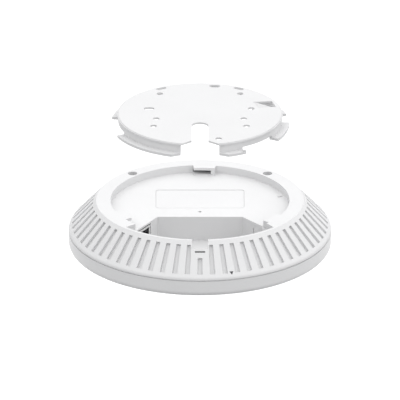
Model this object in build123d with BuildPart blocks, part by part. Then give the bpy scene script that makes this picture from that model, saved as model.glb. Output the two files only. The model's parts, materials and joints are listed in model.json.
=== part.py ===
from build123d import *
import os
from math import cos, hypot, radians, sin

# Round ceiling access point, hung face down below its twist-lock mounting plate.
# The origin is the centre of the plate's ceiling face, +Z is up into the ceiling and
# -Y is the side with the cable notch. At rest the body hangs lift_travel below the
# place where it seats, turned as it is when locked.

os.makedirs("parts", exist_ok=True)

# ---- casing ----
body_diameter = 160.0
recess_diameter = 108.8      # round recess that takes the plate's hooks
recess_depth = 4.8
ring_width = 8.8             # flat ring round the recess
rear_height = 19.1           # ring to the seam between the two shells
band_height = 10.4           # straight side of the front cover
dome_rise = 4.1              # crown of the front cover
wall = 2.2
floor_wall = 1.6             # floor of the recess and of the cable bay
seam_rim = 1.2               # upright edge of the rear housing at the seam
seam_fillet = 2.4            # rounding between the cone and that edge
seam_reveal = 0.6
clearance = 0.3              # gap between pieces that fit into each other

# ---- cooling grooves on the cone ----
groove_count = 64
groove_angle = 2.2
groove_depth = 1.5
groove_start = 0.12          # along the slope, 0 at the ring and 1 at the seam
groove_end = 0.88
short_groove_start = 0.46

# ---- twist lock ----
lug_angles = (87.0, 207.0, 327.0)
lug_span = 14.8              # degrees
lug_depth = 4.2              # how far a lug reaches in from the recess wall
lug_cap = 1.7
lug_base = 0.5
stop_span = 2.8              # closed end of each lug, degrees
hook_thickness = 1.6
hook_gap = 0.15              # between a locked hook and the lug above it
lift_travel = 52.65

# ---- mounting plate ----
plate_clearance = 0.2        # plate rim to the lugs
plate_sheet = 1.1
plate_step = 0.3
rim_wall = 1.6
rim_height = 4.6
hook_drop = 5.8              # ceiling face to the top of a hook
plate_notch_width = 10.0
plate_notch_end = -14.5
plate_skirt_gap = 23.0       # rim left out each side of the notch
hook_spans = (
    (14.5, 21.5), (24.0, 52.0), (84.0, 115.0), (140.0, 171.0), (202.6, 256.5), (283.5, 301.0), (330.5, 360.0),
)
screw_hole_r = 2.0
screw_rows = ((26.4, -8.6), (28.0, -20.3), (24.5, 31.8))
box_hole_x, box_slot_x = 31.0, -30.8    # the slot covers the 60.3 mm spacing of a wall box
box_screw_y = 7.8
front_hole = (11.2, -40.4)
back_slot = (9.0, 44.2)
slanted_slot = (23.6, 40.2)
window_points = ((32.3, 18.2), (43.6, 19.8), (46.1, 10.4), (42.8, 10.0), (35.4, 9.0))

# ---- cable bay ----
bay_back_y = -15.7
bay_half_width = 25.8
bay_depth = 20.3             # ring to the bay floor
bay_rim = 1.6                # lip left at the top of the cone
bay_left_angle = 224.3
bay_left_cut = 223.6
bay_right_heading = -50.7
bay_right_length = 19.5
bay_lug_angle = 318.6
bay_right_cut = 316.0
notch_width = 9.6
notch_depth = 3.9
tie_slot_width = 6.4
tie_slot_height = 1.0

# ---- electronics ----
jack_width, jack_height, jack_length = 15.9, 12.6, 18.0
jack_along = 16.7            # from the bay's corner, along its wall
jack_gap = 0.8
jack_frame = 1.2              # front face of the metal shell around the black insert
joint_line_along = 10.5      # fine upright joint line in the bay's right wall
joint_line_top = 8.7         # below the ring
joint_line_width = 0.5
board_thickness = 1.6
board_edge_gap = 6.8
chassis_gap = 3.7            # board to chassis plate
chassis_thickness = 1.0
antenna_room = 3.8           # least depth kept below the chassis plate
post_radius = 50.0
post_angles = (20.0, 65.0, 115.0, 160.0)
lens_r = 2.6
reset_y = -7.7
reset_travel = 0.3

# ---- worked out ----
body_r = body_diameter / 2
recess_r = recess_diameter / 2
ring_r = recess_r + ring_width
lug_r = recess_r - lug_depth
seated_gap = hook_drop - lug_cap - hook_gap
ring_z = -(seated_gap + lift_travel)
floor_z = ring_z - recess_depth
seam_z = ring_z - rear_height
under_floor_z = floor_z - floor_wall
cone_foot = rear_height - seam_rim
cone_run = body_r - ring_r
slope = hypot(cone_run, cone_foot)
normal_r, normal_z = cone_foot / slope, cone_run / slope
side_wall = wall / normal_r
edge_fillet = min(seam_fillet, 0.8 * seam_rim * cone_run / (slope - cone_foot))
inner_r = body_r - side_wall
board_top = under_floor_z - clearance - jack_height
board_low = board_top - board_thickness
chassis_top = board_low - chassis_gap
chassis_low = chassis_top - chassis_thickness
foot_z = min(seam_z - band_height, chassis_low - antenna_room)
front_z = foot_z - dome_rise


def polar(radius, azimuth):
    return (radius * cos(radians(azimuth)), radius * sin(radians(azimuth)))


def cone_point(radius, out=0.0):
    """Radius and height of a point on the cone, moved out along its normal."""
    depth = (radius - ring_r) * cone_foot / cone_run
    return (radius + out * normal_r, ring_z - depth + out * normal_z)


def radial_plane(azimuth):
    """Upright plane through the axis: local x is the radius, local y is up."""
    east, north = polar(1, azimuth)
    return Plane(origin=(0, 0, 0), x_dir=(east, north, 0), z_dir=(north, -east, 0))


def cone_plane(radius, azimuth):
    """Plane on the cone: local x runs round it, local y up the slope."""
    point_r, point_z = cone_point(radius)
    east, north = polar(1, azimuth)
    return Plane(
        origin=(point_r * east, point_r * north, point_z),
        x_dir=(-north, east, 0),
        z_dir=(normal_r * east, normal_r * north, normal_z),
    )


def ring_sector(r_in, r_out, z_low, z_high, from_angle, to_angle, mode=Mode.ADD):
    """Part of a ring of rectangular section, added to the open part."""
    with BuildSketch(radial_plane(from_angle)) as section:
        with Locations(((r_in + r_out) / 2, (z_low + z_high) / 2)):
            Rectangle(r_out - r_in, z_high - z_low)
    revolve(section.sketch, axis=Axis.Z, revolution_arc=to_angle - from_angle, mode=mode)


def block(low, high, mode=Mode.ADD):
    """Upright block between two corners, added to the open part."""
    with BuildSketch(Plane.XY.offset(low[2])) as base:
        with Locations(((low[0] + high[0]) / 2, (low[1] + high[1]) / 2)):
            Rectangle(high[0] - low[0], high[1] - low[1])
    extrude(base.sketch, amount=high[2] - low[2], mode=mode)


def chip(x, y, z_low, length, width, height, mode=Mode.ADD):
    """Block centred on x, y that stands on z_low."""
    block((x - length / 2, y - width / 2, z_low), (x + length / 2, y + width / 2, z_low + height), mode)


# ---- outlines shared by several pieces ----
bay_left = (-bay_half_width, bay_back_y)
bay_right = (bay_half_width, bay_back_y)
bay_front_r = ring_r - bay_rim
left_end = polar(recess_r, bay_left_angle)
heading = (cos(radians(bay_right_heading)), sin(radians(bay_right_heading)))
right_end = (bay_right[0] + bay_right_length * heading[0], bay_right[1] + bay_right_length * heading[1])

with BuildSketch() as bay_outline:
    with BuildLine():
        Polyline(
            polar(bay_front_r, bay_left_cut),
            left_end,
            bay_left,
            bay_right,
            right_end,
            polar(lug_r - clearance, bay_lug_angle),
            polar(bay_front_r, bay_right_cut),
        )
        ThreePointArc(polar(bay_front_r, bay_right_cut), polar(bay_front_r, 270), polar(bay_front_r, bay_left_cut))
    make_face()

# Planes on the bay face of its slanted side walls: local x along the wall, local y up,
# local z into the bay. The network jack looks through the left one.
left_length = hypot(left_end[0] - bay_left[0], left_end[1] - bay_left[1])
left_dir = ((left_end[0] - bay_left[0]) / left_length, (left_end[1] - bay_left[1]) / left_length)
lan_plane = Plane(
    origin=(bay_left[0] + jack_along * left_dir[0], bay_left[1] + jack_along * left_dir[1], board_top),
    x_dir=(-left_dir[0], -left_dir[1], 0),
    z_dir=(-left_dir[1], left_dir[0], 0),
)
right_plane = Plane(
    origin=(
        bay_right[0] + joint_line_along * heading[0], bay_right[1] + joint_line_along * heading[1], ring_z
    ),
    x_dir=(heading[0], heading[1], 0),
    z_dir=(heading[1], -heading[0], 0),
)

# Case screws: two down wells in the ring, two through the bay floor.
well_angles = (45.0, 135.0)
well_r = 2.9
well_wall = 1.0
well_depth = 8.0
well_radius = recess_r + well_r + well_wall + clearance
well_places = [polar(well_radius, angle) for angle in well_angles]
bay_screw_places = [(side * 18.0, -(bay_front_r - 10.0)) for side in (-1, 1)]
well_floor_z = ring_z - well_depth
well_foot_z = well_floor_z - wall
bay_floor_z = ring_z - bay_depth
bay_foot_z = bay_floor_z - floor_wall
shank_r = 1.25
screw_clear_r = 1.6
head_r = 2.5
head_height = 1.6
boss_r = 3.2
post_places = [polar(post_radius, angle) for angle in post_angles]

# ---- rear housing ----
with BuildPart() as envelope:
    with BuildSketch(Plane.XZ):
        with BuildLine():
            Polyline(
                (0, floor_z), (recess_r, floor_z), (recess_r, ring_z), (ring_r, ring_z),
                (body_r, ring_z - cone_foot), (body_r, seam_z), (0, seam_z), close=True,
            )
        edge_face = make_face()
        fillet(edge_face.vertices().group_by(Axis.X)[-1].sort_by(Axis.Y)[-1], edge_fillet)
    revolve(axis=Axis.Z)

# The bay hangs below the seam, so its block is trimmed by the cone but not by the seam.
with BuildPart() as bay_limit:
    add(envelope.part)
    ring_sector(0, inner_r, bay_foot_z - 1, seam_z + 1, 0, 360)

with BuildPart() as bay_block:
    with BuildSketch(Plane.XY.offset(bay_foot_z)):
        add(bay_outline.sketch)
        offset(amount=wall, kind=Kind.INTERSECTION)
    extrude(amount=bay_depth + floor_wall)
    add(bay_limit.part, mode=Mode.INTERSECT)

with BuildPart() as groove:
    with BuildSketch(radial_plane(-groove_angle / 2)):
        Polygon(
            cone_point(ring_r + groove_start * cone_run, 1), cone_point(ring_r + groove_end * cone_run, 1),
            cone_point(ring_r + groove_end * cone_run, -groove_depth),
            cone_point(ring_r + groove_start * cone_run, -groove_depth), align=None,
        )
    revolve(axis=Axis.Z, revolution_arc=groove_angle)

with BuildPart() as short_groove:
    with BuildSketch(radial_plane(270 - groove_angle / 2)):
        Polygon(
            cone_point(ring_r + short_groove_start * cone_run, 1), cone_point(ring_r + groove_end * cone_run, 1),
            cone_point(ring_r + groove_end * cone_run, -groove_depth),
            cone_point(ring_r + short_groove_start * cone_run, -groove_depth), align=None,
        )
    revolve(axis=Axis.Z, revolution_arc=groove_angle)

# The grooves beside the cable notch stop at a smooth pad round the notch and the tie slot.
pitch = 360 / groove_count
pad_width = notch_width + 1.6
pad_end_r = ring_r + 0.36 * cone_run
with BuildPart() as pad_grooves:
    with PolarLocations(0, 2, 270 - pitch, 2 * pitch, endpoint=True):
        add(groove.part)
    block((-pad_width / 2, -pad_end_r, seam_z), (pad_width / 2, 0, ring_z + 2), Mode.SUBTRACT)

notch_lip_r = ring_r + notch_depth * cone_run / cone_foot
mark_angle = 270 + 2.5 * pitch
mark_r = ring_r + 0.87 * cone_run
label_y, label_length, label_width, label_depth = 12.4, 54.2, 28.8, 0.3

with BuildPart() as rear_housing:
    add(envelope.part)
    with BuildSketch(Plane.XZ):
        with BuildLine():
            Polyline(
                (0, seam_z), (inner_r, seam_z), (inner_r, ring_z - cone_foot),
                (ring_r + wall * cone_run / cone_foot - side_wall, ring_z - wall),
                (recess_r + wall, ring_z - wall), (recess_r + wall, under_floor_z), (0, under_floor_z),
                close=True,
            )
        make_face()
    revolve(axis=Axis.Z, mode=Mode.SUBTRACT)
    # posts that the board is screwed to, and tubes of the case screw wells
    with BuildSketch(Plane.XY.offset(board_top)):
        with Locations(*post_places):
            Circle(boss_r)
    extrude(amount=under_floor_z - board_top + floor_wall / 2)
    with BuildSketch(Plane.XY.offset(well_foot_z)):
        with Locations(*well_places):
            Circle(well_r + well_wall)
    extrude(amount=well_depth + wall - wall / 2)
    # cable bay: its walls and floor, then the space itself
    add(bay_block.part)
    with BuildSketch(Plane.XY.offset(bay_floor_z)):
        add(bay_outline.sketch)
    extrude(amount=bay_depth + 1, mode=Mode.SUBTRACT)
    # lugs of the twist lock, each closed at its clockwise end
    for angle in lug_angles:
        lug_from, lug_to = angle - lug_span / 2, angle + lug_span / 2
        root_r = recess_r + wall / 2
        ring_sector(lug_r, root_r, ring_z - lug_cap, ring_z, lug_from, lug_to)
        ring_sector(lug_r - clearance, root_r, floor_z - floor_wall / 2, floor_z + lug_base, lug_from, lug_to)
        ring_sector(lug_r, root_r, floor_z, ring_z - lug_cap / 2, lug_from, lug_from + stop_span)
        # window in the recess wall behind the lug, which the mould needs
        ring_sector(
            recess_r - 0.2, recess_r + wall + 0.2, floor_z + lug_base, ring_z - lug_cap,
            lug_from + stop_span, lug_to, Mode.SUBTRACT,
        )
    # detent rib on the recess floor
    ring_sector(recess_r - 4.4, recess_r - 2.0, floor_z - 0.5, floor_z + 0.5, 17.4, 18.8)
    # cooling grooves, a short one below the cable notch
    with PolarLocations(0, groove_count - 3, 270 + 2 * pitch, 360 - 4 * pitch, endpoint=True):
        add(groove.part, mode=Mode.SUBTRACT)
    add(pad_grooves.part, mode=Mode.SUBTRACT)
    add(short_groove.part, mode=Mode.SUBTRACT)
    # cable notch: its floor falls away towards the bay
    with BuildSketch(Plane.YZ.offset(-notch_width / 2)):
        Polygon(
            (-notch_lip_r, ring_z - notch_depth), (-notch_lip_r - 2, ring_z - notch_depth + 1),
            (-notch_lip_r - 2, ring_z + 1), (-bay_front_r + 3, ring_z + 1),
            (-bay_front_r + 3, ring_z - notch_depth - 0.7 * (notch_lip_r - bay_front_r + 3)), align=None,
        )
    extrude(amount=notch_width, mode=Mode.SUBTRACT)
    # slot for a cable tie, through the cone into the bay
    with BuildSketch(cone_plane(notch_lip_r + 1.3, 270)):
        SlotOverall(tie_slot_width, tie_slot_height)
    extrude(amount=-3.5 * wall, mode=Mode.SUBTRACT)
    # opening for the jack, and the joint line in the other side wall
    with BuildSketch(lan_plane):
        with Locations((0, jack_height / 2)):
            Rectangle(jack_width + 2 * jack_gap, jack_height + 2 * jack_gap)
    extrude(amount=-(wall + clearance), mode=Mode.SUBTRACT)
    with BuildSketch(right_plane):
        with Locations((0, -(joint_line_top + bay_depth) / 2)):
            Rectangle(joint_line_width, bay_depth - joint_line_top)
    extrude(amount=-joint_line_width, mode=Mode.SUBTRACT)
    # shallow field for the label, and the reset pinhole
    with BuildSketch(Plane.XY.offset(floor_z)):
        with Locations((0, label_y)):
            RectangleRounded(label_length, label_width, 2.0)
    extrude(amount=-label_depth, mode=Mode.SUBTRACT)
    with BuildSketch(Plane.XY.offset(floor_z + 1)):
        with Locations((0, reset_y)):
            Circle(1.0)
    extrude(amount=-(floor_wall + 2), mode=Mode.SUBTRACT)
    # wells, screw holes
    with BuildSketch(Plane.XY.offset(ring_z + 1)):
        with Locations(*well_places):
            Circle(well_r)
    extrude(amount=-(well_depth + 1), mode=Mode.SUBTRACT)
    with BuildSketch(Plane.XY.offset(ring_z)):
        with Locations(*well_places):
            Circle(screw_clear_r)
    extrude(amount=-(well_depth + 2 * wall), mode=Mode.SUBTRACT)
    with BuildSketch(Plane.XY.offset(bay_floor_z)):
        with Locations(*bay_screw_places):
            Circle(screw_clear_r)
    extrude(amount=-2 * floor_wall, mode=Mode.SUBTRACT)
    with BuildSketch(Plane.XY.offset(board_top)):
        with Locations(*post_places):
            Circle(shank_r)
    extrude(amount=8.0, mode=Mode.SUBTRACT)
    # pocket of the alignment mark
    with BuildSketch(cone_plane(mark_r, mark_angle)):
        Triangle(a=2.5, b=2.5, c=2.5, rotation=180)
    extrude(amount=-0.25, mode=Mode.SUBTRACT)
rear_housing.part.label = "rear_housing"
export_step(rear_housing.part, "parts/rear_housing.step")

with BuildPart() as alignment_mark:
    with BuildSketch(cone_plane(mark_r, mark_angle).offset(-0.25)):
        Triangle(a=2.5, b=2.5, c=2.5, rotation=180)
    extrude(amount=0.22)
alignment_mark.part.label = "alignment_mark"
export_step(alignment_mark.part, "parts/alignment_mark.step")

with BuildPart() as rating_label:
    with BuildSketch(Plane.XY.offset(floor_z - label_depth)):
        with Locations((0, label_y)):
            RectangleRounded(label_length - 1.2, label_width - 1.2, 1.6)
    extrude(amount=0.15)
rating_label.part.label = "rating_label"
export_step(rating_label.part, "parts/rating_label.step")

# ---- front cover ----
front_edge = 3.6             # rounding between the side band and the dome
tongue_r = inner_r - clearance
tongue_wall = 1.4
tongue_height = 1.0
seal_width, seal_height = 1.5, 1.9
seal_ledge = 1.5
seal_r = tongue_r - tongue_wall - 0.15
ledge_top = seam_z - 1.0
lens_hole_r = lens_r + clearance
lens_seat_z = front_z + wall + 0.4
gasket_thickness = 1.0
gasket_r = 5.0
lens_flange = 1.2
fit_gap = 0.1
with BuildPart() as front_cover:
    with BuildSketch(Plane.XZ):
        with BuildLine():
            Line((0, seam_z), (body_r, seam_z))
            Line((body_r, seam_z), (body_r, foot_z))
            ThreePointArc((body_r, foot_z), (body_r / 2, foot_z - 0.74 * dome_rise), (0, front_z))
            Line((0, front_z), (0, seam_z))
        cover_face = make_face()
        fillet(cover_face.vertices().group_by(Axis.X)[-1].sort_by(Axis.Y)[0], front_edge)
    revolve(axis=Axis.Z)
    with BuildSketch(Plane.XZ):
        with BuildLine():
            Line((0, seam_z), (body_r - wall, seam_z))
            Line((body_r - wall, seam_z), (body_r - wall, foot_z + wall))
            ThreePointArc(
                (body_r - wall, foot_z + wall), (body_r / 2, foot_z + wall - 0.74 * dome_rise), (0, front_z + wall)
            )
            Line((0, front_z + wall), (0, seam_z))
        room_face = make_face()
        fillet(room_face.vertices().group_by(Axis.X)[-1].sort_by(Axis.Y)[0], front_edge - wall / 2)
    revolve(axis=Axis.Z, mode=Mode.SUBTRACT)
    # tongue inside the rear housing, and the reveal that makes the seam a fine line
    ring_sector(tongue_r - tongue_wall, body_r - wall / 2, seam_z - 2.5, seam_z, 0, 360)
    ring_sector(tongue_r - tongue_wall, tongue_r, seam_z - 1.0, seam_z + tongue_height, 0, 360)
    ring_sector(body_r - seam_reveal, body_r + 1, seam_z - seam_reveal, seam_z + 1, 0, 360, Mode.SUBTRACT)
    # ledge that carries the dust seal
    ring_sector(seal_r - seal_width - 0.2, tongue_r - tongue_wall + 0.5, ledge_top - seal_ledge, ledge_top, 0, 360)
    # bosses for the case screws
    with BuildSketch(Plane.XY.offset(front_z + wall)):
        with Locations(*well_places):
            Circle(boss_r)
    extrude(amount=well_foot_z - front_z - wall)
    with BuildSketch(Plane.XY.offset(front_z + wall)):
        with Locations(*bay_screw_places):
            Circle(boss_r)
    extrude(amount=bay_foot_z - front_z - wall)
    with BuildSketch(Plane.XY.offset(well_foot_z)):
        with Locations(*well_places):
            Circle(shank_r)
    extrude(amount=-11.0, mode=Mode.SUBTRACT)
    with BuildSketch(Plane.XY.offset(bay_foot_z)):
        with Locations(*bay_screw_places):
            Circle(shank_r)
    extrude(amount=-6.0, mode=Mode.SUBTRACT)
    # seat and hole of the status lens
    with BuildSketch(Plane.XY.offset(front_z + wall / 2)):
        Circle(gasket_r + 1.6)
    extrude(amount=lens_seat_z - front_z - wall / 2 + gasket_thickness)
    with BuildSketch(Plane.XY.offset(lens_seat_z)):
        Circle(gasket_r + clearance)
    extrude(amount=gasket_thickness + 1, mode=Mode.SUBTRACT)
    with BuildSketch(Plane.XY.offset(front_z - 1)):
        Circle(lens_hole_r)
    extrude(amount=2 * wall + 2, mode=Mode.SUBTRACT)
front_cover.part.label = "front_cover"
export_step(front_cover.part, "parts/front_cover.step")

with BuildPart() as dust_seal:
    ring_sector(seal_r - seal_width, seal_r, ledge_top + fit_gap, ledge_top + fit_gap + seal_height, 0, 360)
dust_seal.part.label = "dust_seal"
export_step(dust_seal.part, "parts/dust_seal.step")

with BuildPart() as lens_gasket:
    with BuildSketch(Plane.XY.offset(lens_seat_z + fit_gap)):
        Circle(gasket_r)
        Circle(lens_r + clearance, mode=Mode.SUBTRACT)
    extrude(amount=gasket_thickness - 2 * fit_gap)
lens_gasket.part.label = "lens_gasket"
export_step(lens_gasket.part, "parts/lens_gasket.step")

led_height = 1.6
with BuildPart() as status_lens:
    with BuildSketch(Plane.XY.offset(front_z + 0.1)):
        Circle(lens_r)
    extrude(amount=board_low - led_height - clearance - front_z - 0.1)
    chamfer(status_lens.edges().filter_by(GeomType.CIRCLE).sort_by(Axis.Z)[0], 0.3)
    with BuildSketch(Plane.XY.offset(lens_seat_z + gasket_thickness)):
        Circle(gasket_r - 0.2)
    extrude(amount=lens_flange)
status_lens.part.label = "status_lens"
export_step(status_lens.part, "parts/status_lens.step")

# ---- mounting plate ----
plate_r = lug_r - plate_clearance
hook_r = recess_r - 2 * plate_clearance
hook_low = -hook_drop - hook_thickness
rim_r = plate_r - 0.4
rim_in_r = rim_r - rim_wall
step_width, band = 0.7, 1.1
tab_high, tab_low = -0.8, -3.0
with BuildPart() as mounting_plate:
    # turned outline with the hooks all the way round, then cleared between the hooks
    with BuildSketch(Plane.XZ):
        Polygon(
            (0, 0), (plate_r - step_width, 0), (plate_r - step_width, -plate_step), (plate_r, -plate_step),
            (plate_r, -plate_step - band), (rim_r, -plate_step - band), (rim_r, -hook_drop), (hook_r, -hook_drop),
            (hook_r, hook_low), (rim_in_r, hook_low), (rim_in_r, -plate_sheet), (0, -plate_sheet), align=None,
        )
    revolve(axis=Axis.Z)
    for (_, gap_from), (gap_to, _) in zip(hook_spans, hook_spans[1:] + hook_spans[:1]):
        gap_end = gap_to if gap_to > gap_from else gap_to + 360
        ring_sector(rim_in_r - 1, hook_r + 1, hook_low - 1, -rim_height, gap_from, gap_end, Mode.SUBTRACT)
    # upstand on the end of the short front hook
    ring_sector(hook_r - 1.4, hook_r - 0.1, -hook_drop - 0.4, -hook_drop + 0.8, 299.0, 300.8)
    # rim cleared on both sides of the notch, ends of the hooks cut on the slant
    with BuildSketch(Plane.XY.offset(hook_low - 1)):
        with Locations((0, -plate_r)):
            Rectangle(plate_skirt_gap, 2 * (hook_r - rim_in_r) + 4)
        for side in (-1, 1):
            Polygon(
                (0, -rim_r + 1), (side * plate_skirt_gap / 2, -rim_r + 1), (side * 17.1, -hook_r + 2.8),
                (side * 17.1, -hook_r - 2), (0, -hook_r - 2), align=None,
            )
    extrude(amount=-plate_sheet - hook_low + 1, mode=Mode.SUBTRACT)
    # cable notch with a round end and slanted corners
    with BuildSketch(Plane.XY.offset(hook_low)):
        with Locations((0, plate_notch_end - plate_notch_width / 2)):
            Circle(plate_notch_width / 2)
        with Locations((0, (plate_notch_end - plate_notch_width / 2 - hook_r) / 2)):
            Rectangle(plate_notch_width, hook_r + plate_notch_end - plate_notch_width / 2)
        for side in (-1, 1):
            Polygon(
                (0, -plate_r + 6.6), (side * plate_notch_width / 2, -plate_r + 6.6),
                (side * plate_skirt_gap / 2, -plate_r + 1.3), (side * plate_skirt_gap / 2, -plate_r - 2),
                (0, -plate_r - 2), align=None,
            )
    extrude(amount=1 - hook_low, mode=Mode.SUBTRACT)
    # screw holes and slots, and the three-sided window
    with BuildSketch(Plane.XY.offset(-plate_sheet - 1)):
        for hole_x, hole_y in screw_rows:
            with Locations((-hole_x, hole_y), (hole_x, hole_y)):
                Circle(screw_hole_r)
        with Locations((box_hole_x, box_screw_y), front_hole):
            Circle(screw_hole_r)
        with Locations((box_slot_x, box_screw_y), back_slot):
            SlotOverall(6.4, 2 * screw_hole_r - 0.4)
        for side in (-1, 1):
            with Locations(Location((side * slanted_slot[0], slanted_slot[1]), side * -32.0)):
                SlotOverall(6.8, 2.8)
        Polygon(*window_points, align=None)
    extrude(amount=plate_sheet + 2, mode=Mode.SUBTRACT)
    # spring tab that slopes down out of the window's near edge
    tab_a, tab_b, tab_tip = window_points[3], window_points[0], window_points[4]
    tab_start = Vector(*tab_a, tab_high)
    tab_along = Vector(*tab_b, tab_high) - tab_start
    tab_down = Vector(*tab_tip, tab_low) - tab_start
    tab_plane = Plane(origin=tab_start, x_dir=tab_along, z_dir=tab_along.cross(tab_down))
    with BuildSketch(tab_plane):
        Polygon((-0.8, -0.8), (tab_along.length + 0.8, -0.8), (tab_along.length - 3.0, 5.2), (2.0, 5.2), align=None)
    extrude(amount=0.45, both=True)
mounting_plate.part.label = "mounting_plate"
export_step(mounting_plate.part, "parts/mounting_plate.step")

# ---- board ----
board_r = inner_r - board_edge_gap
with BuildPart() as main_board:
    with BuildSketch(Plane.XY.offset(board_low)):
        Circle(board_r)
        with Locations(*well_places):
            Circle(boss_r + 1, mode=Mode.SUBTRACT)
        with Locations(*post_places):
            Circle(screw_clear_r, mode=Mode.SUBTRACT)
    extrude(amount=board_thickness)
    with BuildSketch(Plane.XY.offset(board_low - 1)):
        add(bay_outline.sketch)
        offset(amount=wall + 0.5, kind=Kind.INTERSECTION)
        with Locations((0, -board_r)):
            Rectangle(1.45 * bay_front_r, 2 * (board_r - bay_front_r) + 18)
    extrude(amount=board_thickness + 2, mode=Mode.SUBTRACT)
main_board.part.label = "main_board"
export_step(main_board.part, "parts/main_board.step")

with BuildPart() as chassis_plate:
    with BuildSketch(Plane.XY.offset(chassis_low)):
        Circle(board_r - 8)
        Circle(gasket_r + 3, mode=Mode.SUBTRACT)
        with Locations(*well_places, *bay_screw_places):
            Circle(boss_r + 1, mode=Mode.SUBTRACT)
        with Locations(*post_places):
            Circle(screw_clear_r, mode=Mode.SUBTRACT)
    extrude(amount=chassis_thickness)
chassis_plate.part.label = "chassis_plate"
export_step(chassis_plate.part, "parts/chassis_plate.step")

with BuildPart() as chassis_spacers:
    with BuildSketch(Plane.XY.offset(chassis_top)):
        with Locations(*post_places):
            Circle(2.6)
        with Locations(*post_places):
            Circle(screw_clear_r, mode=Mode.SUBTRACT)
    extrude(amount=chassis_gap)
chassis_spacers.part.label = "chassis_spacers"
export_step(chassis_spacers.part, "parts/chassis_spacers.step")

with BuildPart() as board_screws:
    with BuildSketch(Plane.XY.offset(chassis_low)):
        with Locations(*post_places):
            Circle(shank_r)
    extrude(amount=board_top + 7.0 - chassis_low)
    with BuildSketch(Plane.XY.offset(chassis_low)):
        with Locations(*post_places):
            Circle(head_r)
    extrude(amount=-head_height)
    with BuildSketch(Plane.XY.offset(chassis_low - head_height)):
        with Locations(*post_places):
            Rectangle(2.4, 0.6)
            Rectangle(0.6, 2.4)
    extrude(amount=0.9, mode=Mode.SUBTRACT)
board_screws.part.label = "board_screws"
export_step(board_screws.part, "parts/board_screws.step")

with BuildPart() as case_screws:
    for places, seat_z, length in ((well_places, well_floor_z, 11.0), (bay_screw_places, bay_floor_z, 6.5)):
        with BuildSketch(Plane.XY.offset(seat_z)):
            with Locations(*places):
                Circle(shank_r)
        extrude(amount=-length)
        with BuildSketch(Plane.XY.offset(seat_z)):
            with Locations(*places):
                Circle(head_r)
        extrude(amount=head_height)
        with BuildSketch(Plane.XY.offset(seat_z + head_height)):
            with Locations(*places):
                Rectangle(2.4, 0.6)
                Rectangle(0.6, 2.4)
        extrude(amount=-0.9, mode=Mode.SUBTRACT)
case_screws.part.label = "case_screws"
export_step(case_screws.part, "parts/case_screws.step")

# ---- network jack ----
shell_wall = 0.3
socket_width, socket_height, socket_length = 11.8, 7.0, 13.0
socket_low = 2.0
with BuildSketch() as socket_outline:
    with Locations((0, socket_low + socket_height / 2)):
        Rectangle(socket_width, socket_height)
    with Locations((0, socket_low + socket_height)):
        Rectangle(6.2, 2.6)
    with Locations((0, socket_low + socket_height + 1.3)):
        Rectangle(3.4, 2.4)

with BuildPart() as lan_jack_shell:
    with BuildSketch(lan_plane):
        with Locations((0, jack_height / 2)):
            Rectangle(jack_width, jack_height)
    extrude(amount=-jack_length)
    with BuildSketch(lan_plane.offset(-shell_wall)):
        with Locations((0, jack_height / 2)):
            Rectangle(jack_width - 2 * shell_wall, jack_height - 2 * shell_wall)
    extrude(amount=-(jack_length - 2 * shell_wall), mode=Mode.SUBTRACT)
    with BuildSketch(lan_plane):
        with Locations((0, jack_height / 2)):
            Rectangle(jack_width - 2 * jack_frame, jack_height - 2 * jack_frame)
    extrude(amount=-2 * shell_wall, mode=Mode.SUBTRACT)
lan_jack_shell.part.label = "lan_jack_shell"
export_step(lan_jack_shell.part, "parts/lan_jack_shell.step")

with BuildPart() as lan_jack_insert:
    with BuildSketch(lan_plane.offset(-0.4)):
        with Locations((0, jack_height / 2)):
            Rectangle(jack_width - 2 * shell_wall, jack_height - 2 * shell_wall)
    extrude(amount=-(jack_length - 0.4 - shell_wall))
    with BuildSketch(lan_plane):
        add(socket_outline.sketch)
    extrude(amount=-socket_length, mode=Mode.SUBTRACT)
lan_jack_insert.part.label = "lan_jack_insert"
export_step(lan_jack_insert.part, "parts/lan_jack_insert.step")

with BuildPart() as lan_jack_contacts:
    with BuildSketch(lan_plane.offset(-socket_length)):
        with Locations((0, socket_low + 0.7)):
            with GridLocations(1.02, 1, 8, 1):
                Rectangle(0.45, 0.35)
    extrude(amount=socket_length - 4.0)
lan_jack_contacts.part.label = "lan_jack_contacts"
export_step(lan_jack_contacts.part, "parts/lan_jack_contacts.step")

# ---- reset switch ----
switch_size, switch_height = 6.0, 3.6
plunger_r = 1.7
with BuildPart() as reset_switch:
    chip(0, reset_y, board_top, switch_size, switch_size, switch_height)
    with BuildSketch(Plane.XY.offset(board_top + 1.2)):
        with Locations((0, reset_y)):
            Circle(plunger_r + 0.05)
    extrude(amount=switch_height, mode=Mode.SUBTRACT)
reset_switch.part.label = "reset_switch"
export_step(reset_switch.part, "parts/reset_switch.step")

with BuildPart() as reset_plunger:
    with BuildSketch(Plane.XY.offset(board_top + 1.2 + reset_travel + 0.2)):
        with Locations((0, reset_y)):
            Circle(plunger_r)
    extrude(amount=under_floor_z - 1.0 - board_top - 1.4 - reset_travel)
    chamfer(reset_plunger.edges().filter_by(GeomType.CIRCLE).sort_by(Axis.Z)[-1], 0.3)
reset_plunger.part.label = "reset_plunger"
export_step(reset_plunger.part, "parts/reset_plunger.step")

# ---- chips and cans on the rear side of the board ----
can_wall = 0.3
with BuildPart() as cpu_shield:
    chip(0, 22, board_top, 32, 26, 3.2)
    chip(0, 22, board_top - 1, 32 - 2 * can_wall, 26 - 2 * can_wall, 4.2 - can_wall, Mode.SUBTRACT)
cpu_shield.part.label = "cpu_shield"
export_step(cpu_shield.part, "parts/cpu_shield.step")

with BuildPart() as radio_shields:
    for side in (-1, 1):
        chip(side * 30, 28, board_top, 20, 20, 3.0)
        chip(side * 30, 28, board_top - 1, 20 - 2 * can_wall, 20 - 2 * can_wall, 4.0 - can_wall, Mode.SUBTRACT)
radio_shields.part.label = "radio_shields"
export_step(radio_shields.part, "parts/radio_shields.step")

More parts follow.
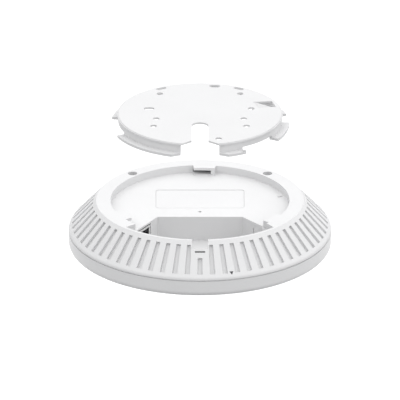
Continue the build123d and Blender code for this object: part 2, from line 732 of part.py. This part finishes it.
with BuildPart() as memory_chips:
    for side in (-1, 1):
        chip(side * 7, 22, board_top, 9, 12, 1.1)
memory_chips.part.label = "memory_chips"
export_step(memory_chips.part, "parts/memory_chips.step")

with BuildPart() as lan_magnetics:
    chip(-36, 3, board_top, 16, 12, 6.2)
lan_magnetics.part.label = "lan_magnetics"
export_step(lan_magnetics.part, "parts/lan_magnetics.step")

with BuildPart() as power_transformer:
    chip(35, 3, board_top, 13, 13, 2.0)
    chip(35, 3, board_top + 2.0, 11, 9, 6.0)
    chip(35, 3, board_top + 8.0, 13, 13, 1.6)
power_transformer.part.label = "power_transformer"
export_step(power_transformer.part, "parts/power_transformer.step")

with BuildPart() as power_inductor:
    chip(16, -4, board_top, 9, 9, 4.2)
    fillet(power_inductor.edges().filter_by(Axis.Z), 1.5)
power_inductor.part.label = "power_inductor"
export_step(power_inductor.part, "parts/power_inductor.step")

with BuildPart() as capacitors:
    with BuildSketch(Plane.XY.offset(board_top)):
        with Locations((-12, 46), (0, 46), (12, 46)):
            Circle(4.0)
    extrude(amount=9.5)
    chamfer(capacitors.edges().filter_by(GeomType.CIRCLE).group_by(Axis.Z)[-1], 0.5)
capacitors.part.label = "capacitors"
export_step(capacitors.part, "parts/capacitors.step")

# ---- hot chips on the front side, with pads to the chassis plate ----
cpu_height, radio_height = 1.4, 1.2
with BuildPart() as cpu_chip:
    chip(0, 22, board_low - cpu_height, 17, 17, cpu_height)
cpu_chip.part.label = "cpu_chip"
export_step(cpu_chip.part, "parts/cpu_chip.step")

with BuildPart() as radio_chips:
    for side in (-1, 1):
        chip(side * 28, 26, board_low - radio_height, 12, 12, radio_height)
radio_chips.part.label = "radio_chips"
export_step(radio_chips.part, "parts/radio_chips.step")

with BuildPart() as thermal_pads:
    chip(0, 22, chassis_top, 15, 15, chassis_gap - cpu_height)
    for side in (-1, 1):
        chip(side * 28, 26, chassis_top, 11, 11, chassis_gap - radio_height)
thermal_pads.part.label = "thermal_pads"
export_step(thermal_pads.part, "parts/thermal_pads.step")

with BuildPart() as status_led:
    chip(0, 0, board_low - led_height, 3.2, 2.8, led_height)
status_led.part.label = "status_led"
export_step(status_led.part, "parts/status_led.step")

# ---- antennas: stamped metal, folded, on the front side of the chassis plate ----
antenna_sheet = 0.4
antenna_height = 3.0
antenna_length, antenna_width = 22.0, 8.0
antenna_radius = 42.0
for number, angle in enumerate((0.0, 45.0, 135.0, 180.0), start=1):
    antenna_x, antenna_y = polar(antenna_radius, angle)
    seat = Plane(origin=(antenna_x, antenna_y, chassis_low), x_dir=(*polar(1, angle + 90), 0), z_dir=(0, 0, -1))
    with BuildPart() as antenna:
        with BuildSketch(seat):
            with Locations((-antenna_length / 2 + 3, 0)):
                Rectangle(6, antenna_width)
        extrude(amount=antenna_sheet)
        with BuildSketch(seat):
            with Locations((-antenna_length / 2 + antenna_sheet / 2, 0)):
                Rectangle(antenna_sheet, antenna_width)
        extrude(amount=antenna_height)
        with BuildSketch(seat.offset(antenna_height - antenna_sheet)):
            Rectangle(antenna_length, antenna_width)
            with Locations((3, 0)):
                Rectangle(12, 1.2, mode=Mode.SUBTRACT)
        extrude(amount=antenna_sheet)
    antenna.part.label = f"antenna_{number}"
    export_step(antenna.part, f"parts/antenna_{number}.step")

print("ring top at", round(ring_z, 3), "front at", round(front_z, 3), "board at", round(board_top, 3))
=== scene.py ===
import json
import math
import random

import bmesh
import bpy
from mathutils import Matrix, Vector
from mathutils.bvhtree import BVHTree


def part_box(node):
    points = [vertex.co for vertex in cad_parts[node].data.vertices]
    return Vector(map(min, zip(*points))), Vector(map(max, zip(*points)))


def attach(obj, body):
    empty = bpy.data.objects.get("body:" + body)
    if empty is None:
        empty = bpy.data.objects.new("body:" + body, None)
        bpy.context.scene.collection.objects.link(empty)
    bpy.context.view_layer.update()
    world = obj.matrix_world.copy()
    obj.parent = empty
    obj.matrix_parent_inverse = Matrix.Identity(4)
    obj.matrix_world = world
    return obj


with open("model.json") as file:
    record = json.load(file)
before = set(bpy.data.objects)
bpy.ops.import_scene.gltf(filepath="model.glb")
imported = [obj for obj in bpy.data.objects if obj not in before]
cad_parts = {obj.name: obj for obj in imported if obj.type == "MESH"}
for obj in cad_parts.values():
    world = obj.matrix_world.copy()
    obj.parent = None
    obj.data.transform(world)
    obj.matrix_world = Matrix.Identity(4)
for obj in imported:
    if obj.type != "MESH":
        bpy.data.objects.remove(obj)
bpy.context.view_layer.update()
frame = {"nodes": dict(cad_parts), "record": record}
nodes = frame["nodes"]
print("frame loaded,", len(nodes), "parts")

# every finish is built from object coordinates, in metres, so grain sizes are real ones


def startFinish(name, look):
    finish = bpy.data.materials.new(name)
    finish.use_nodes = True
    tree = finish.node_tree
    shader = tree.nodes["Principled BSDF"]
    shader.inputs["Base Color"].default_value = (*look["colour"], 1)
    shader.inputs["Metallic"].default_value = look.get("metallic", 0.0)
    shader.inputs["Specular IOR Level"].default_value = look.get("gloss", 0.5)
    shader.inputs["Coat Weight"].default_value = look.get("coat", 0.0)
    place = tree.nodes.new("ShaderNodeTexCoord")
    return finish, tree, shader, place.outputs["Object"]


def noiseNode(tree, place, size, detail=3.0, stretch=None):
    noise = tree.nodes.new("ShaderNodeTexNoise")
    noise.inputs["Scale"].default_value = 1.0 / size
    noise.inputs["Detail"].default_value = detail
    if stretch is None:
        tree.links.new(place, noise.inputs["Vector"])
    else:
        mapping = tree.nodes.new("ShaderNodeMapping")
        mapping.inputs["Scale"].default_value = stretch
        tree.links.new(place, mapping.inputs["Vector"])
        tree.links.new(mapping.outputs["Vector"], noise.inputs["Vector"])
    return noise.outputs["Fac"]


def spread(tree, value, low, high, fromLow=0.3, fromHigh=0.7):
    ramp = tree.nodes.new("ShaderNodeMapRange")
    ramp.inputs["From Min"].default_value = fromLow
    ramp.inputs["From Max"].default_value = fromHigh
    ramp.inputs["To Min"].default_value = low
    ramp.inputs["To Max"].default_value = high
    tree.links.new(value, ramp.inputs["Value"])
    return ramp.outputs["Result"]


def blendColours(tree, value, first, second):
    mix = tree.nodes.new("ShaderNodeMix")
    mix.data_type = "RGBA"
    mix.inputs["A"].default_value = (*first, 1)
    mix.inputs["B"].default_value = (*second, 1)
    tree.links.new(value, mix.inputs["Factor"])
    return mix.outputs["Result"]


def bumped(tree, height, depth, under=None):
    bump = tree.nodes.new("ShaderNodeBump")
    bump.inputs["Strength"].default_value = 1.0
    bump.inputs["Distance"].default_value = depth
    tree.links.new(height, bump.inputs["Height"])
    if under is not None:
        tree.links.new(under, bump.inputs["Normal"])
    return bump.outputs["Normal"]


def roundEdges(tree, radius):
    edge = tree.nodes.new("ShaderNodeBevel")
    edge.samples = 4
    edge.inputs["Radius"].default_value = radius
    return edge.outputs["Normal"]


def mouldedPlastic(name, look):
    finish, tree, shader, place = startFinish(name, look)
    patches = noiseNode(tree, place, look["patchSize"], 2.0)
    grain = noiseNode(tree, place, look["grainSize"], 4.0)
    tree.links.new(spread(tree, patches, *look["roughness"]), shader.inputs["Roughness"])
    tone = [c * look["toneDrop"] for c in look["colour"]]
    mottled = blendColours(tree, spread(tree, patches, 0, 1), look["colour"], tone)
    tree.links.new(mottled, shader.inputs["Base Color"])
    rounded = roundEdges(tree, look["edge"])
    ripple = bumped(tree, patches, look["ripple"], rounded)
    tree.links.new(bumped(tree, grain, look["grainDepth"], ripple), shader.inputs["Normal"])
    return finish


def sheetMetal(name, look):
    finish, tree, shader, place = startFinish(name, look)
    lines = noiseNode(tree, place, look["grainSize"], 5.0, look["stretch"])
    stains = noiseNode(tree, place, look["patchSize"], 3.0)
    tree.links.new(spread(tree, lines, *look["roughness"]), shader.inputs["Roughness"])
    dull = [c * 0.8 for c in look["colour"]]
    stained = blendColours(tree, spread(tree, stains, 0, 1), look["colour"], dull)
    tree.links.new(stained, shader.inputs["Base Color"])
    rounded = roundEdges(tree, look["edge"])
    tree.links.new(bumped(tree, lines, look["grainDepth"], rounded), shader.inputs["Normal"])
    return finish


def threadedSteel(name, look):
    # rings round Z stand for the thread: they only show on the upright faces of a screw
    finish, tree, shader, place = startFinish(name, look)
    rings = tree.nodes.new("ShaderNodeTexWave")
    rings.bands_direction = "Z"
    rings.inputs["Scale"].default_value = 0.314 / look["pitch"]
    tree.links.new(place, rings.inputs["Vector"])
    scuff = noiseNode(tree, place, look["grainSize"], 4.0)
    tree.links.new(spread(tree, scuff, *look["roughness"]), shader.inputs["Roughness"])
    rounded = roundEdges(tree, look["edge"])
    scuffed = bumped(tree, scuff, look["grainDepth"], rounded)
    tree.links.new(bumped(tree, rings.outputs["Fac"], look["threadDepth"], scuffed), shader.inputs["Normal"])
    return finish


def boardLaminate(name, look):
    finish, tree, shader, place = startFinish(name, look)
    tracks = tree.nodes.new("ShaderNodeTexBrick")
    tracks.inputs["Scale"].default_value = 1.0 / look["trackCell"]
    tracks.inputs["Mortar Size"].default_value = 0.035
    tracks.inputs["Color1"].default_value = (0, 0, 0, 1)
    tracks.inputs["Color2"].default_value = (0, 0, 0, 1)
    tracks.inputs["Mortar"].default_value = (1, 1, 1, 1)
    tree.links.new(place, tracks.inputs["Vector"])
    pours = noiseNode(tree, place, look["pourSize"], 0.0)
    lit = blendColours(tree, tracks.outputs["Color"], look["colour"], look["trackColour"])
    mix = tree.nodes.new("ShaderNodeMix")
    mix.data_type = "RGBA"
    mix.inputs["B"].default_value = (*look["pourColour"], 1)
    tree.links.new(lit, mix.inputs["A"])
    tree.links.new(spread(tree, pours, 0, 1, 0.54, 0.56), mix.inputs["Factor"])
    tree.links.new(mix.outputs["Result"], shader.inputs["Base Color"])
    weave = noiseNode(tree, place, look["weaveSize"], 2.0)
    tree.links.new(spread(tree, weave, *look["roughness"]), shader.inputs["Roughness"])
    rounded = roundEdges(tree, look["edge"])
    raised = bumped(tree, tracks.outputs["Color"], look["trackHeight"], rounded)
    tree.links.new(bumped(tree, weave, look["weaveDepth"], raised), shader.inputs["Normal"])
    return finish


def clearPlastic(name, look):
    finish, tree, shader, place = startFinish(name, look)
    shader.inputs["Transmission Weight"].default_value = look["transmission"]
    shader.inputs["IOR"].default_value = 1.49
    shader.inputs["Emission Color"].default_value = (*look["glow"], 1)
    shader.inputs["Emission Strength"].default_value = look["glowStrength"]
    frost = noiseNode(tree, place, look["grainSize"], 4.0)
    tree.links.new(spread(tree, frost, *look["roughness"]), shader.inputs["Roughness"])
    rounded = roundEdges(tree, look["edge"])
    tree.links.new(bumped(tree, frost, look["grainDepth"], rounded), shader.inputs["Normal"])
    return finish


whiteShell = {
    "colour": (0.61, 0.61, 0.614),
    "roughness": (0.44, 0.56),
    "gloss": 0.45,
    "patchSize": 0.03,
    "toneDrop": 0.985,
    "ripple": 0.00003,
    "grainSize": 0.00035,
    "grainDepth": 0.000004,
    "edge": 0.0003,
}
coverShell = dict(
    whiteShell, colour=(0.63, 0.63, 0.634), roughness=(0.32, 0.42), grainDepth=0.000002,
    edge=0.0002,
)
darkInk = dict(whiteShell, colour=(0.06, 0.06, 0.065), roughness=(0.35, 0.5), gloss=0.3, edge=0.00004)
labelFilm = dict(
    whiteShell, colour=(0.6, 0.6, 0.604), roughness=(0.28, 0.36), grainDepth=0.000001,
    edge=0.0001,
)
blackResin = dict(
    whiteShell, colour=(0.011, 0.011, 0.013), roughness=(0.4, 0.6), gloss=0.4, toneDrop=0.7,
    edge=0.00015,
)
buttonResin = dict(blackResin, colour=(0.05, 0.05, 0.055))
softPad = dict(
    whiteShell, colour=(0.36, 0.42, 0.56), roughness=(0.7, 0.9), gloss=0.2, toneDrop=0.85,
    grainDepth=0.00001,
)
softRubber = dict(blackResin, roughness=(0.7, 0.9), gloss=0.2, grainDepth=0.000008)
sinteredCore = dict(blackResin, colour=(0.045, 0.042, 0.042), roughness=(0.55, 0.75), grainDepth=0.000012)
sleeve = dict(blackResin, colour=(0.012, 0.02, 0.05), roughness=(0.2, 0.3), gloss=0.5, grainDepth=0.000001)
ledResin = dict(whiteShell, colour=(0.85, 0.78, 0.42), roughness=(0.2, 0.3), edge=0.0001)
tinPlate = {
    "colour": (0.86, 0.86, 0.85),
    "metallic": 0.75,
    "roughness": (0.24, 0.42),
    "patchSize": 0.006,
    "grainSize": 0.0006,
    "stretch": (1, 9, 9),
    "grainDepth": 0.000002,
    "edge": 0.00012,
}
rolledAluminium = dict(
    tinPlate, colour=(0.74, 0.75, 0.76), roughness=(0.32, 0.5), stretch=(1, 14, 1),
    patchSize=0.02,
)
goldPlate = dict(tinPlate, colour=(0.83, 0.6, 0.24), roughness=(0.2, 0.3))
zincScrew = {
    "colour": (0.55, 0.55, 0.56),
    "metallic": 1.0,
    "roughness": (0.3, 0.5),
    "pitch": 0.0006,
    "threadDepth": 0.00012,
    "grainSize": 0.0005,
    "grainDepth": 0.000003,
    "edge": 0.0002,
}
solderMask = {
    "colour": (0.012, 0.085, 0.035),
    "trackColour": (0.02, 0.15, 0.06),
    "pourColour": (0.016, 0.12, 0.05),
    "trackCell": 0.006,
    "pourSize": 0.02,
    "trackHeight": 0.00004,
    "weaveSize": 0.0006,
    "weaveDepth": 0.000003,
    "roughness": (0.25, 0.38),
    "gloss": 0.5,
    "edge": 0.0001,
}
lightPipe = {
    "colour": (0.9, 0.94, 1.0),
    "transmission": 0.75,
    "glow": (0.55, 0.75, 1.0),
    "glowStrength": 0.35,
    "roughness": (0.15, 0.3),
    "grainSize": 0.0004,
    "grainDepth": 0.000002,
    "edge": 0.0001,
}

finishes = {
    "white_plastic": mouldedPlastic("whiteShell", whiteShell),
    "cover_plastic": mouldedPlastic("coverShell", coverShell),
    "dark_ink": mouldedPlastic("darkInk", darkInk),
    "label_film": mouldedPlastic("labelFilm", labelFilm),
    "black_plastic": mouldedPlastic("blackResin", blackResin),
    "button_plastic": mouldedPlastic("buttonResin", buttonResin),
    "thermal_pad": mouldedPlastic("softPad", softPad),
    "black_rubber": mouldedPlastic("softRubber", softRubber),
    "ferrite": mouldedPlastic("sinteredCore", sinteredCore),
    "capacitor_sleeve": mouldedPlastic("sleeve", sleeve),
    "led_plastic": mouldedPlastic("ledResin", ledResin),
    "jack_metal": sheetMetal("tinPlate", tinPlate),
    "chassis_aluminium": sheetMetal("rolledAluminium", rolledAluminium),
    "gold_contact": sheetMetal("goldPlate", goldPlate),
    "screw_steel": threadedSteel("zincScrew", zincScrew),
    "board_laminate": boardLaminate("solderMask", solderMask),
    "clear_plastic": clearPlastic("lightPipe", lightPipe),
}
for part in frame["record"]["subparts"]:
    mesh = nodes[part["node"]].data
    mesh.materials.clear()
    mesh.materials.append(finishes[part["material_slot"]])


def newPiece(name, bm, body, *pieceFinishes):
    mesh = bpy.data.meshes.new(name)
    bm.to_mesh(mesh)
    bm.free()
    piece = bpy.data.objects.new(name, mesh)
    bpy.context.scene.collection.objects.link(piece)
    for finish in pieceFinishes:
        mesh.materials.append(finish)
    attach(piece, body)
    return piece


def addBlock(bm, centre, size, turn=0.0, finishIndex=0):
    made = bmesh.ops.create_cube(bm, size=1.0)["verts"]
    scaled = Matrix.Rotation(turn, 4, "Z") @ Matrix.Diagonal((*size, 1))
    bmesh.ops.transform(bm, matrix=Matrix.Translation(centre) @ scaled, verts=made)
    for face in {face for vert in made for face in vert.link_faces}:
        face.material_index = finishIndex


# ---- small parts soldered to both sides of the board ----
smallParts = {
    "perSide": 130,
    "tries": 2600,
    "length": 0.0016,
    "width": 0.0008,
    "height": 0.0006,
    "cap": 0.00035,
    "room": 0.0021,
    "spacing": 0.0028,
    "grid": 0.0011,
    "standOff": 0.0005,
    "flatWithin": 0.0001,
    "seed": 4,
}


def surfaceTree(name):
    mesh = nodes[name].data
    return BVHTree.FromPolygons([v.co for v in mesh.vertices], [p.vertices for p in mesh.polygons])


obstacles = []
for name in nodes:
    if name != "main_board" and name not in frame["record"]["behaviour"]["bodies"]["plate"]:
        obstacles.append(surfaceTree(name))
boardTree = surfaceTree("main_board")
boardLow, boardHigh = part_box("main_board")
chipCeramic = dict(blackResin, colour=(0.2, 0.14, 0.08), roughness=(0.4, 0.55), edge=0.00005)
ceramic = mouldedPlastic("ceramic", chipCeramic)
solder = sheetMetal("solder", dict(tinPlate, colour=(0.7, 0.7, 0.71), edge=0.0001))
dice = random.Random(smallParts["seed"])


def isFree(point, face):
    for reach in (-1, 1):  # board under both ends of the part
        above = point + Vector((reach * smallParts["length"], 0, face * smallParts["standOff"]))
        foot = boardTree.ray_cast(above, (0, 0, -face))
        if foot[0] is None or abs(foot[0].z - point.z) > smallParts["flatWithin"]:
            return False
    middle = point + Vector((0, 0, face * smallParts["height"] / 2))
    return all(tree.find_nearest(middle, smallParts["room"])[0] is None for tree in obstacles)


for side, face, level in (("rear", 1, boardHigh.z), ("front", -1, boardLow.z)):
    bm = bmesh.new()
    placed = []
    for attempt in range(smallParts["tries"]):
        if len(placed) >= smallParts["perSide"]:
            break
        step = smallParts["grid"]
        x = round(dice.uniform(boardLow.x, boardHigh.x) / step) * step
        y = round(dice.uniform(boardLow.y, boardHigh.y) / step) * step
        point = Vector((x, y, level))
        crowded = any((point - other).length < smallParts["spacing"] for other in placed)
        if crowded or not isFree(point, face):
            continue
        placed.append(point)
        turn = dice.choice((0.0, math.pi / 2))
        along = Vector((math.cos(turn), math.sin(turn), 0))
        middle = point + Vector((0, 0, face * smallParts["height"] / 2))
        width, height, cap = smallParts["width"], smallParts["height"], smallParts["cap"]
        addBlock(bm, middle, (smallParts["length"] - 2 * cap, width, height), turn, dice.choice((0, 0, 1)))
        for end in (-1, 1):
            seat = middle + along * end * (smallParts["length"] - cap) / 2
            addBlock(bm, seat, (cap, width, height * 1.04), turn, 2)
    newPiece("small_parts_" + side, bm, "access_point", ceramic, finishes["black_plastic"], solder)
    print("small parts on the", side, "side:", len(placed))

# ---- pins of the magnetics block ----
magneticsPins = {
    "perSide": 8,
    "pitch": 0.0016,
    "width": 0.0005,
    "sheet": 0.0002,
    "reach": 0.0012,
    "shoulder": 0.0022,
}
low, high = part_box("lan_magnetics")
bm = bmesh.new()
for side in (-1, 1):
    edgeY = high.y if side > 0 else low.y
    for number in range(magneticsPins["perSide"]):
        fromMiddle = number - (magneticsPins["perSide"] - 1) / 2
        x = (low.x + high.x) / 2 + fromMiddle * magneticsPins["pitch"]
        sheet = magneticsPins["sheet"]
        path = [
            (edgeY, low.z + magneticsPins["shoulder"]),
            (edgeY + side * magneticsPins["reach"] * 0.35, low.z + magneticsPins["shoulder"]),
            (edgeY + side * magneticsPins["reach"] * 0.55, low.z + sheet),
            (edgeY + side * magneticsPins["reach"], low.z + sheet),
        ]
        rows = []
        for y, z in path:
            rows.append([
                bm.verts.new((x + across * magneticsPins["width"] / 2, y, z + lift))
                for across, lift in ((-1, 0), (1, 0), (1, -sheet), (-1, -sheet))
            ])
        for one, two in zip(rows, rows[1:]):
            for k in range(4):
                bm.faces.new((one[k], one[(k + 1) % 4], two[(k + 1) % 4], two[k]))
        bm.faces.new(rows[0])
        bm.faces.new(reversed(rows[-1]))
bmesh.ops.recalc_face_normals(bm, faces=bm.faces)
newPiece("magnetics_pins", bm, "access_point", finishes["jack_metal"])
print("magnetics pins made")

# ---- copper winding round the transformer's middle ----
winding = {
    "wire": 0.00038,
    "turns": 8,
    "halfX": 0.0055,
    "halfY": 0.0045,
    "corner": 0.0009,
    "from": 0.0024,
    "to": 0.0076,
}
low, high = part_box("power_transformer")
centreX, centreY = (low.x + high.x) / 2, (low.y + high.y) / 2
bm = bmesh.new()
for turnNumber in range(winding["turns"]):
    z = low.z + winding["from"] + (winding["to"] - winding["from"]) * turnNumber / (winding["turns"] - 1)
    loops = []
    inset = winding["wire"] - winding["corner"]
    for quarter in range(4):
        cornerX = centreX + (winding["halfX"] + inset) * (1 if quarter in (0, 3) else -1)
        cornerY = centreY + (winding["halfY"] + inset) * (1 if quarter in (0, 1) else -1)
        for part in range(5):
            angle = math.radians(quarter * 90 + part * 22.5)
            outward = Vector((math.cos(angle), math.sin(angle), 0))
            middle = Vector((cornerX, cornerY, z)) + outward * winding["corner"]
            loops.append([
                bm.verts.new(middle + (outward * math.cos(a) + Vector((0, 0, math.sin(a)))) * winding["wire"])
                for a in (math.radians(45 * k) for k in range(8))
            ])
    for k, loop in enumerate(loops):
        following = loops[(k + 1) % len(loops)]
        for m in range(8):
            bm.faces.new((loop[m], loop[(m + 1) % 8], following[(m + 1) % 8], following[m]))
for face in bm.faces:
    face.smooth = True
bmesh.ops.recalc_face_normals(bm, faces=bm.faces)
copperEnamel = dict(tinPlate, colour=(0.68, 0.26, 0.12), roughness=(0.2, 0.32), edge=0.00005)
enamel = sheetMetal("enamelledCopper", copperEnamel)
newPiece("transformer_winding", bm, "access_point", enamel)
print("winding made")

# ---- scored vents on the capacitors ----
ventDisc = {"radius": 0.0033, "height": 0.00015, "groove": 0.00035, "sides": 40}
low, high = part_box("capacitors")
bm = bmesh.new()
radius = (high.y - low.y) / 2
for x in (low.x + radius, (low.x + high.x) / 2, high.x - radius):
    for quarter in range(4):  # four sectors, so the gaps between them are the score lines
        start = Vector((x, low.y + radius, high.z)) + Vector((1, 1, 0)).normalized() * ventDisc["groove"]
        corners = []
        reach = ventDisc["radius"] - ventDisc["groove"]
        for part in range(ventDisc["sides"] // 4 + 1):
            angle = math.radians(part * 360 / ventDisc["sides"])
            corners.append(start + Vector((math.cos(angle), math.sin(angle), 0)) * reach)
        outline = [start, *corners]
        turned = Matrix.Rotation(math.radians(90 * quarter), 4, "Z")
        hub = Vector((x, low.y + radius, 0))
        bottom = [bm.verts.new(hub + turned @ (p - hub)) for p in outline]
        top = [bm.verts.new(hub + turned @ (p - hub) + Vector((0, 0, ventDisc["height"]))) for p in outline]
        bm.faces.new(top)
        bm.faces.new(list(reversed(bottom)))
        for k in range(len(outline)):
            m = (k + 1) % len(outline)
            bm.faces.new((bottom[k], bottom[m], top[m], top[k]))
newPiece("capacitor_vents", bm, "access_point", finishes["chassis_aluminium"])
print("capacitor vents made")

# ---- floor, light and camera ----
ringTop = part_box("rear_housing")[1].z
studio = {
    "floorLevel": -0.36,
    "floorHalf": 3.0,
    "floorColour": (0.93, 0.93, 0.93),
    "skyColour": (0.985, 0.99, 1.0),
    "skyByHeight": ((-1.0, 0.1), (-0.45, 0.5), (-0.1, 0.92), (0.12, 0.92), (0.4, 0.3), (1.0, 0.2)),
    "sunStrength": 3.8,
    "sunFrom": (0.12, 0.0, 1.0),
    "sunSoftness": 140.0,
    "cameraHeight": 22.85,
    "cameraDistance": 4.0,
    "lens": 592.0,
    "aim": (0.0, 0.0, ringTop - 0.0003),
}
bm = bmesh.new()
bmesh.ops.create_grid(bm, x_segments=8, y_segments=8, size=studio["floorHalf"])
floorMesh = bpy.data.meshes.new("studio_floor")
bm.to_mesh(floorMesh)
bm.free()
studioFloor = bpy.data.objects.new("studio_floor", floorMesh)
studioFloor.location = (0, 0, studio["floorLevel"])
studioFloor.visible_diffuse = False  # the part hangs high above the floor, so little light comes back up
studioFloor.visible_shadow = False
bpy.context.scene.collection.objects.link(studioFloor)
paleFloor = dict(whiteShell, colour=studio["floorColour"], roughness=(0.8, 0.9), gloss=0.1)
floorMesh.materials.append(mouldedPlastic("paleFloor", paleFloor))

scene = bpy.context.scene
scene.view_settings.view_transform = "Standard"
world = bpy.data.worlds.new("studioSky")
scene.world = world
world.use_nodes = True
skyTree = world.node_tree
sky = skyTree.nodes["Background"]
sky.inputs["Color"].default_value = (*studio["skyColour"], 1)
direction = skyTree.nodes.new("ShaderNodeTexCoord")
parts = skyTree.nodes.new("ShaderNodeSeparateXYZ")
height = skyTree.nodes.new("ShaderNodeMapRange")
height.inputs["From Min"].default_value = -1.0
ramp = skyTree.nodes.new("ShaderNodeValToRGB")
skyTree.links.new(direction.outputs["Generated"], parts.inputs["Vector"])
skyTree.links.new(parts.outputs["Z"], height.inputs["Value"])
skyTree.links.new(height.outputs["Result"], ramp.inputs["Fac"])
skyTree.links.new(ramp.outputs["Color"], sky.inputs["Strength"])
stops = ramp.color_ramp.elements
while len(stops) < len(studio["skyByHeight"]):
    stops.new(0.5)
for stop, (level, strength) in zip(stops, studio["skyByHeight"]):
    stop.position = (level + 1) / 2
    stop.color = (strength, strength, strength, 1)

# one soft light from above, given twice, so that the lifted plate shades itself but not the part below it
plateSet = bpy.data.collections.new("plateSet")
plateSet.objects.link(nodes["mounting_plate"])
allButPlate = bpy.data.collections.new("allButPlate")
allButPlate.objects.link(nodes["mounting_plate"])
allButPlate.collection_objects[0].light_linking.link_state = "EXCLUDE"
lights = (("softLight", allButPlate, allButPlate), ("plateLight", plateSet, None))
for lightName, receivers, blockers in lights:
    sunData = bpy.data.lights.new(lightName, "SUN")
    sunData.energy = studio["sunStrength"]
    sunData.angle = math.radians(studio["sunSoftness"])
    sun = bpy.data.objects.new(lightName, sunData)
    sun.rotation_euler = Vector(studio["sunFrom"]).to_track_quat("Z", "Y").to_euler()
    sun.location = Vector(studio["sunFrom"])
    sun.light_linking.receiver_collection = receivers
    sun.light_linking.blocker_collection = blockers
    scene.collection.objects.link(sun)

cameraData = bpy.data.cameras.new("camera")
cameraData.lens = studio["lens"]
cameraData.sensor_width = 36.0
cameraData.clip_start = 0.1
cameraData.clip_end = 20.0
camera = bpy.data.objects.new("camera", cameraData)
tilt = math.radians(studio["cameraHeight"])
backwards = Vector((0, -math.cos(tilt), math.sin(tilt)))
camera.location = Vector(studio["aim"]) + studio["cameraDistance"] * backwards
camera.rotation_euler = (math.radians(90) - tilt, 0, 0)
scene.collection.objects.link(camera)
scene.camera = camera
print("floor, light and camera ready")
